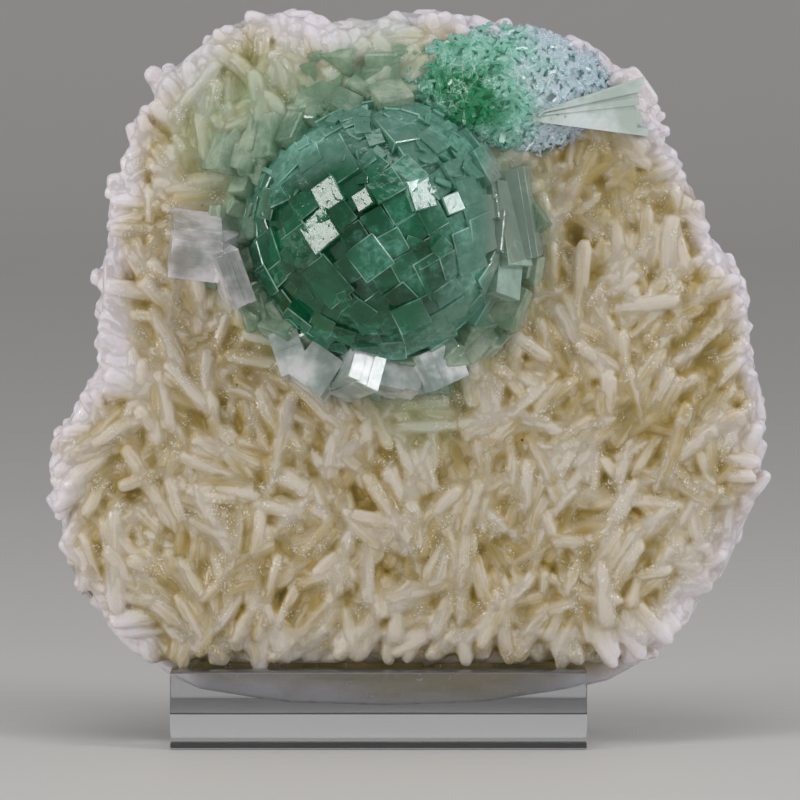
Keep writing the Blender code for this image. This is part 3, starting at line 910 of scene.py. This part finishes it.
def make_halo():
    """Clear crystals round the ball, half sunk in the stilbite."""
    rng = random.Random(41)
    parts = []
    for number in range(HALO_CRYSTALS):
        around = radians(rng.uniform(60, 330)) if rng.random() < 0.75 else rng.uniform(0, tau)
        wide = 1.32 if cos(around - radians(140)) > 0.2 else 1.16
        reach = BALL_RADIUS * rng.uniform(0.93, wide)
        x = BALL_CENTRE.x + reach * cos(around)
        z = BALL_CENTRE.z + reach * sin(around)
        share = float(rim_share(x, z))
        if share > 0.9:
            continue
        spot = on_face(x, z, share)
        close = max(1.0 - (reach / BALL_RADIUS - 0.93) / 0.2, 0.0)
        spot.y += (rng.uniform(0.5, 3.2) - 3.4 * close) * MM
        out = (spot - BALL_CENTRE - Vector((0, 14 * MM, 0))).normalized()
        turn = out.to_track_quat("Z", "Y").to_matrix() @ Euler([rng.gauss(0, 0.22) for _ in range(3)]).to_matrix()
        side = rng.uniform(3.4, 8.0) * MM
        parts.append(crystal(spot, (side, side * rng.uniform(0.8, 1.2), rng.uniform(5, 9) * MM), turn, 0.3 * MM))
    return facetted("apophyllite_halo", parts)


def make_stand():
    """The slotted acrylic block, with polished edges."""
    straight = Matrix.Identity(3)
    block = (BLOCK_WIDTH, BLOCK_DEPTH, BLOCK_HEIGHT)
    made = link("acrylic_stand.fine", crystal(Vector((0, 0, BLOCK_HEIGHT / 2)), block, straight, 0.0))
    slot = (BLOCK_WIDTH * 2, SLOT_WIDTH, 40 * MM)
    carve(made, crystal(Vector((0, 0, SLOT_FLOOR + 20 * MM)), slot, straight, 0.0))
    modify(made, "BEVEL", width=0.4 * MM, segments=3, limit_method="ANGLE")
    soften(made.data, 40)
    return made


# Node helpers for the materials.


class Nodes:
    """Short calls for making a material's nodes."""

    def __init__(self, name):
        self.material = bpy.data.materials.new(name)
        self.material.use_nodes = True
        self.tree = self.material.node_tree
        self.shader = self.tree.nodes["Principled BSDF"]
        self.output = self.tree.nodes["Material Output"]

    def put(self, socket, value):
        if isinstance(value, bpy.types.NodeSocket):
            self.tree.links.new(value, socket)
        elif value is not None:
            socket.default_value = (*value, 1.0) if socket.type == "RGBA" else value

    def node(self, kind, inputs=(), **settings):
        made = self.tree.nodes.new("ShaderNode" + kind)
        for key, value in settings.items():
            setattr(made, key, value)
        for key, value in dict(inputs).items():
            self.put(made.inputs[key], value)
        return made

    def math(self, operation, a, b=None, clamp=False):
        made = self.node("Math", operation=operation, use_clamp=clamp)
        for socket, value in zip(made.inputs, (a, b)):
            self.put(socket, value)
        return made.outputs[0]

    def times(self, *values):
        result = values[0]
        for value in values[1:]:
            result = self.math("MULTIPLY", result, value)
        return result

    def plus(self, a, b):
        return self.math("ADD", a, b)

    def attribute(self, name):
        return self.node("Attribute", attribute_name=name).outputs["Fac"]

    def place(self):
        return self.node("TexCoord").outputs["Object"]

    def xyz(self):
        """The place's three coordinates, by name."""
        return self.node("SeparateXYZ", {"Vector": self.place()}).outputs

    def noise(self, scale, detail=4.0, rough=0.55, where=None):
        inputs = {"Scale": scale, "Detail": detail, "Roughness": rough, "Vector": where or self.place()}
        return self.node("TexNoise", inputs).outputs["Fac"]

    def cells(self, scale):
        """The distance from the middles of scattered cells."""
        return self.node("TexVoronoi", {"Scale": scale, "Vector": self.place()}).outputs["Distance"]

    def span(self, value, low, high, to_low=0.0, to_high=1.0):
        inputs = {"Value": value, "From Min": low, "From Max": high, "To Min": to_low, "To Max": to_high}
        return self.node("MapRange", inputs, interpolation_type="SMOOTHSTEP").outputs["Result"]

    def mix(self, share, a, b):
        return self.node("Mix", {0: share, 6: a, 7: b}, data_type="RGBA").outputs[2]

    def mix_value(self, share, a, b):
        return self.node("Mix", {0: share, 2: a, 3: b}, data_type="FLOAT").outputs[0]

    def bump(self, height, distance, strength):
        inputs = {"Strength": strength, "Distance": distance, "Height": height}
        return self.node("Bump", inputs).outputs["Normal"]

    def set(self, **values):
        for key, value in values.items():
            self.put(self.shader.inputs[key.replace("_", " ")], value)


def distance_from(n, spot):
    """How far a place lies from the line through spot that runs from front to back."""
    place = n.xyz()
    dx = n.math("SUBTRACT", place["X"], spot.x)
    dz = n.math("SUBTRACT", place["Z"], spot.z)
    return n.math("SQRT", n.plus(n.times(dx, dx), n.times(dz, dz)))


def near(n, spot, low, high):
    """1 near spot on the front half, falling to 0 between those distances (in millimetres) from it."""
    share = n.span(distance_from(n, spot), low * MM, high * MM, 1.0, 0.0)
    return n.times(share, n.span(n.xyz()["Y"], 1 * MM, -2 * MM))


def wavered(n, value, wave, amount):
    """A value pushed up and down by a noise between 0 and 1."""
    return n.plus(value, n.times(n.math("SUBTRACT", wave, 0.5), amount))


def along_grain(n, share):
    """Coordinates squeezed along the bars' length, so that a texture runs along them."""
    place = n.place()
    grain = n.node("Attribute", attribute_name="grain").outputs["Vector"]
    along = n.node("VectorMath", {0: place, 1: grain}, operation="DOT_PRODUCT").outputs["Value"]
    back = n.node("VectorMath", {0: grain, "Scale": n.times(along, share)}, operation="SCALE")
    return n.node("VectorMath", {0: place, 1: back.outputs[0]}, operation="SUBTRACT").outputs[0]


# Where the ball's green tints the stilbite: the middle in the camera's frame, where the tint begins to fade and
# where it ends, in millimetres from there, and how strong it is.
GREEN_TINTS = ((380, 230, 23, 36, 0.6), (255, 130, 5, 22, 0.7), (420, 400, 3, 14, 0.45))


def stilbite_material():
    n = Nodes("stilbite_waxy")
    rim = n.attribute("rim")
    patches = n.attribute("patches")
    blotch = n.attribute("blotch")
    fine = n.noise(900.0, 2.0, 0.65)
    # Painted light and shade: this value rises with height above the slab and with how open a place lies, and falls
    # in the hollows between the blades where shade falls. Random patches, blotches, each bar's tone and its bands
    # move it too, and the back is raised a little.
    painted_light_and_tone = n.plus(n.span(n.attribute("height"), -0.2, 2.8), n.times(n.attribute("open"), 0.9))
    painted_light_and_tone = wavered(n, wavered(n, painted_light_and_tone, blotch, 0.9), patches, 0.9)
    painted_light_and_tone = n.plus(painted_light_and_tone, n.span(n.xyz()["Y"], 1 * MM, 5 * MM, 0.0, 0.5))
    cream = n.mix(n.span(patches, 0.35, 0.65), (0.52, 0.40, 0.19), (0.58, 0.47, 0.27))
    yellow = n.mix(n.span(blotch, 0.35, 0.65), (0.30, 0.21, 0.04), (0.43, 0.30, 0.085))
    olive_hollow_shade = n.mix(n.span(patches, 0.4, 0.6), (0.20, 0.18, 0.045), (0.34, 0.20, 0.07))
    streaks = n.noise(2100.0, 1.0, 0.6, where=along_grain(n, 0.9))
    bands = n.noise(700.0, 1.0, 0.5, where=along_grain(n, 0.93))
    painted_light_and_tone = wavered(n, painted_light_and_tone, n.attribute("tone"), 0.42)
    painted_light_and_tone = wavered(n, painted_light_and_tone, bands, 0.5)
    cream = n.mix(n.span(bands, 0.35, 0.68), cream, (0.62, 0.54, 0.40))
    # Partly the stone's own yellowish colour, partly painted shade: the low, enclosed places between the blades are
    # painted darker yellow, and the deepest ones dark olive.
    base = n.mix(n.span(painted_light_and_tone, 1.65, 0.90), cream, yellow)
    base = n.mix(n.span(painted_light_and_tone, 0.85, 0.25), base, olive_hollow_shade)
    # Painted light: the highest, most open places, which are the blades' ridges and tips, are painted pale and
    # broken up along the grain by streaks.
    lit_ridges = wavered(n, wavered(n, painted_light_and_tone, fine, 0.35), streaks, 0.7)
    base = n.mix(n.times(n.span(lit_ridges, 1.40, 2.0), 0.85), base, (0.72, 0.65, 0.56))
    # Painted light: a pale lilac band round the plate's rim stands in for light shining through its thin edge.
    edge = wavered(n, rim, patches, 0.24)
    base = n.mix(n.span(edge, 0.90, 0.99), base, (0.82, 0.77, 0.82))
    for column, row, low, high, share in GREEN_TINTS:
        tint = n.times(near(n, seen_at(column, row, -14), low, high), n.span(blotch, 0.2, 0.6, share * 0.6, share))
        base = n.mix(tint, base, (0.34, 0.49, 0.33))
    # Painted shade: a small dark green spot in the stilbite under the narrow end of the pale fan.
    base = n.mix(n.times(near(n, seen_at(541, 141, -9), 1.2, 3.6), 0.9), base, (0.04, 0.15, 0.06))
    base = n.mix(n.times(near(n, seen_at(385, 72, -12), 4, 15), 0.6), base, (0.50, 0.62, 0.52))
    base = n.mix(near(n, BALL_CENTRE, 12, 22), base, (0.03, 0.20, 0.11))
    yellow_spot = n.times(near(n, Vector((41, 0, 103)) * MM, 2, 13), n.span(blotch, 0.35, 0.6))
    base = n.mix(n.times(yellow_spot, 0.7), base, (0.48, 0.36, 0.09))
    specks = n.times(n.span(n.cells(150.0), 0.055, 0.035), n.span(painted_light_and_tone, 1.6, 1.1))
    base = n.mix(specks, base, (0.035, 0.03, 0.012))
    # Scattered clusters are made glossier, and fine white dots inside them are painted into the colour as painted
    # highlights (glints).
    glints = n.span(n.noise(260.0, 1.0), 0.52, 0.66)
    glint_and_frost = n.times(n.span(n.noise(2600.0, 0.0), 0.62, 0.74), glints)
    base = n.mix(n.times(glint_and_frost, 0.7), base, (0.92, 0.90, 0.86))
    n.set(Base_Color=base, Roughness=n.mix_value(glints, n.span(fine, 0.25, 0.75, 0.30, 0.5), 0.10))
    n.set(Subsurface_Weight=0.7, Subsurface_Radius=(1.0, 0.78, 0.42), Subsurface_Scale=2.6 * MM, IOR=1.5)
    n.shader.subsurface_method = "BURLEY"
    height = n.plus(n.noise(1700.0, 2.0, 0.6), n.times(streaks, 1.3))
    n.set(Normal=n.bump(height, 0.14 * MM, 0.8))
    return n.material


def absorb(n, colour, density):
    """What the inside of a clear crystal takes from the light."""
    inside = n.node("VolumeAbsorption", {"Color": colour, "Density": density})
    n.tree.links.new(inside.outputs["Volume"], n.output.inputs["Volume"])


def cracks(n, scale, width, seed):
    """Thin lines like the edges of broken panes, 1 on the line."""
    wander = n.node("Mapping", {"Vector": n.place(), "Location": (seed, seed * 0.7, -seed)})
    inputs = {"Vector": wander.outputs["Vector"], "Scale": scale}
    made = n.node("TexVoronoi", inputs, feature="DISTANCE_TO_EDGE")
    return n.span(made.outputs["Distance"], width, width * 0.35)


def ball_material():
    n = Nodes("green_apophyllite")
    cloud = n.noise(95.0, 3.0, 0.6)
    patch = n.noise(48.0, 2.0, 0.55)
    fine = n.noise(620.0, 2.0, 0.6)
    tone = n.attribute("tone")
    edge = n.attribute("edge")
    centre = wavered(n, near(n, seen_at(352, 258, -30), 10, 26), cloud, 0.9)
    deep = n.mix(wavered(n, tone, cloud, 1.4), (0.003, 0.10, 0.03), (0.02, 0.34, 0.16))
    deep = n.mix(n.span(fine, 0.45, 0.75, 0.0, 0.3), deep, (0.08, 0.46, 0.30))
    pale = n.mix(fine, (0.10, 0.46, 0.28), (0.42, 0.74, 0.64))
    base = n.mix(n.span(centre, 0.15, 0.8), pale, deep)
    mist = n.span(wavered(n, patch, fine, 0.25), 0.50, 0.70)
    base = n.mix(n.times(mist, 0.42), base, (0.30, 0.66, 0.60))
    base = n.mix(n.span(n.xyz()["X"], 18 * MM, 22 * MM, 0.0, 0.8), base, (0.66, 0.74, 0.66))
    lines = n.times(cracks(n, 380.0, 0.05, 0.3), n.span(cloud, 0.5, 0.8, 0.0, 0.6))
    # Painted light along the crystals' chamfered edges, together with crack lines: both are painted pale green and
    # let less light through.
    marks = n.math("MAXIMUM", n.times(edge, n.span(cloud, 0.42, 0.62, 0.1, 0.9)), lines)
    base = n.mix(n.times(marks, 0.7), base, (0.55, 0.82, 0.72))
    through = n.math("SUBTRACT", 0.60, n.times(mist, 0.30))
    through = n.math("SUBTRACT", through, n.times(marks, 0.3), clamp=True)
    n.set(Base_Color=base, Roughness=n.span(fine, 0.3, 0.75, 0.03, 0.20), Transmission_Weight=through)
    n.set(IOR=1.535)
    panes = n.cells(620.0)
    ripple = n.plus(n.times(n.noise(1300.0, 1.0, 0.5), 0.5), n.times(panes, 0.9))
    n.set(Normal=n.bump(ripple, 0.13 * MM, 0.7))
    absorb(n, (0.22, 0.90, 0.60), 95.0)
    return n.material


def clear_material(name, clear, glint_and_frost, through, colour, density):
    """Clear crystal with clouds, cracks and fine ripples in its faces."""
    n = Nodes(name)
    cloud = n.noise(120.0, 3.0, 0.55)
    fine = n.noise(800.0, 2.0, 0.6)
    mist = n.span(wavered(n, cloud, fine, 0.12), 0.38, 0.66)
    lines = n.times(cracks(n, 420.0, 0.05, 0.5), n.span(cloud, 0.45, 0.6))
    base = n.mix(mist, clear, glint_and_frost)
    base = n.mix(n.times(lines, 0.5), base, (0.86, 0.86, 0.86))
    low, high = through
    share = n.plus(n.times(mist, low - high), high)
    n.set(Base_Color=base, Roughness=n.span(fine, 0.3, 0.75, 0.03, 0.2), Transmission_Weight=share, IOR=1.535)
    n.set(Normal=n.bump(n.noise(700.0, 1.0, 0.5), 0.03 * MM, 0.4))
    absorb(n, colour, density)
    return n.material


def crust_material():
    n = Nodes("mint_apophyllite")
    far = distance_from(n, seen_at(463, 95, -16))
    cloud = n.noise(150.0, 3.0, 0.65)
    fine = n.noise(900.0, 2.0, 0.65)
    reach = wavered(n, n.math("DIVIDE", far, 17 * MM), cloud, 1.2)
    green = n.mix(fine, (0.015, 0.19, 0.07), (0.08, 0.38, 0.20))
    mint = n.mix(fine, (0.20, 0.50, 0.38), (0.40, 0.64, 0.58))
    pale = n.mix(fine, (0.46, 0.58, 0.62), (0.72, 0.71, 0.82))
    base = n.mix(n.span(reach, 0.15, 0.6), green, mint)
    base = n.mix(n.span(reach, 0.60, 1.1), base, pale)
    lines = n.times(cracks(n, 600.0, 0.07, 0.2), n.span(cloud, 0.4, 0.6))
    base = n.mix(n.times(lines, 0.5), base, (0.80, 0.86, 0.84))
    n.set(Base_Color=base, Roughness=n.span(fine, 0.3, 0.75, 0.08, 0.3), IOR=1.535)
    n.set(Subsurface_Weight=0.7, Subsurface_Radius=(0.6, 1.0, 0.8), Subsurface_Scale=2.4 * MM)
    n.set(Transmission_Weight=0.2)
    n.set(Normal=n.bump(n.noise(1500.0, 1.0, 0.6), 0.06 * MM, 0.6))
    n.shader.subsurface_method = "BURLEY"
    absorb(n, (0.45, 0.90, 0.72), 60.0)
    return n.material


def stand_material():
    n = Nodes("clear_acrylic")
    n.set(Base_Color=(0.97, 0.98, 1.0), Transmission_Weight=0.94, IOR=1.49)
    n.set(Roughness=n.span(n.noise(60.0, 3.0), 0.35, 0.7, 0.01, 0.04))
    absorb(n, (0.86, 0.92, 1.0), 4.0)
    return n.material


def assign(made, material):
    made.data.materials.clear()
    made.data.materials.append(material)


def add_camera():
    place, _, _, forward = camera_axes()
    data = bpy.data.cameras.new("camera")
    data.sensor_width = 36.0
    data.lens = data.sensor_width * PIXEL_DISTANCE / (FRAME_PIXELS * PIXEL)
    data.clip_start = 0.01
    camera = link("camera", data)
    camera.location = place
    camera.rotation_euler = forward.to_track_quat("-Z", "Y").to_euler()
    bpy.context.scene.camera = camera


def add_light(name, azimuth, elevation, distance, size, power, colour=(1, 1, 1)):
    """A soft light, at that direction from the specimen: azimuth from the viewer, elevation from the floor."""
    aim = Vector((0.0, 0.0, 75 * MM))
    out = towards(azimuth, elevation)
    data = bpy.data.lights.new(name, "AREA")
    data.shape = "RECTANGLE"
    data.size, data.size_y = size
    data.energy = power
    data.color = colour
    made = link(name, data)
    made.location = aim + out * distance
    made.rotation_euler = (-out).to_track_quat("-Z", "Y").to_euler()


FLOOR_FRONT = -2.4
FLOOR_BACK = 1.7
FLOOR_CURVE = 0.4
FLOOR_HALF_WIDTH = 2.6
BACKDROP_TOP = 2.4


def add_stage():
    """A pale floor that curves up into a backdrop."""
    profile = [(FLOOR_FRONT, 0.0)]
    for step in range(13):
        angle = radians(90 * step / 12)
        profile.append((FLOOR_BACK + FLOOR_CURVE * sin(angle), FLOOR_CURVE * (1.0 - cos(angle))))
    profile.append((FLOOR_BACK + FLOOR_CURVE, BACKDROP_TOP))
    points = [(x, y, z) for x in (-FLOOR_HALF_WIDTH, FLOOR_HALF_WIDTH) for y, z in profile]
    count = len(profile)
    faces = [(i, i + count, i + count + 1, i + 1) for i in range(count - 1)]
    floor = link("floor", mesh_of(points, faces))
    floor.data.shade_smooth()
    n = Nodes("pale_floor")
    tone = n.mix(n.noise(4.0, 2.0), (0.70, 0.69, 0.67), (0.74, 0.73, 0.71))
    n.set(Base_Color=tone, Roughness=0.55)
    assign(floor, n.material)


def add_world():
    world = bpy.data.worlds.new("studio")
    bpy.context.scene.world = world
    world.use_nodes = True
    background = world.node_tree.nodes["Background"]
    background.inputs["Color"].default_value = (0.84, 0.84, 0.86, 1.0)
    background.inputs["Strength"].default_value = 0.38


HALO_LOOK = clear_material(
    "pale_apophyllite", (0.50, 0.76, 0.56), (0.58, 0.70, 0.52), (0.35, 0.75), (0.66, 0.94, 0.78), 16.0
)
LEFT_LOOK = clear_material(
    "clear_left", (0.92, 0.92, 0.93), (0.93, 0.89, 0.93), (0.15, 0.70), (0.80, 0.93, 0.90), 8.0
)
LOWER_LOOK = clear_material(
    "clear_lower", (0.80, 0.92, 0.88), (0.90, 0.89, 0.91), (0.15, 0.65), (0.66, 0.92, 0.86), 20.0
)
FAN_LOOK = clear_material(
    "pale_fan", (0.62, 0.73, 0.66), (0.74, 0.81, 0.80), (0.0, 0.2), (0.80, 0.92, 0.88), 20.0
)
PIECES = (
    (make_stilbite, stilbite_material(), "stilbite_matrix", "stilbite"),
    (make_ball, ball_material(), "apophyllite_ball", "green_apophyllite"),
    (make_halo, HALO_LOOK, "apophyllite_ball", "green_apophyllite"),
    (make_crust, crust_material(), "apophyllite_crust", "mint_apophyllite"),
    (
        lambda: facetted("clear_left.fine", grown(LEFT_CRYSTALS, random.Random(21))),
        LEFT_LOOK, "clear_crystals_left", "clear_apophyllite_left",
    ),
    (
        lambda: facetted("clear_lower.fine", grown(LOWER_CRYSTALS, random.Random(22))),
        LOWER_LOOK, "clear_crystals_lower", "clear_apophyllite_lower",
    ),
    (make_fan, FAN_LOOK, "pale_fan_crystal", "pale_crystal"),
    (make_stand, stand_material(), "acrylic_stand", "clear_acrylic"),
)
for make, material, node, slot in PIECES:
    piece = make()
    assign(piece, material)
    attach(piece, "root")
    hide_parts(node)

add_stage()
add_world()
add_light("key_left", *LEFT_LIGHT, 0.85, (0.24, 0.26), 2.1, (1.0, 0.98, 0.95))
add_light("key_right", *RIGHT_LIGHT, 0.85, (0.22, 0.24), 2.1, (0.97, 0.98, 1.0))
add_light("top", -8, 66, 0.85, (0.5, 0.4), 1.5)
add_camera()
bpy.context.scene.view_settings.view_transform = "Standard"
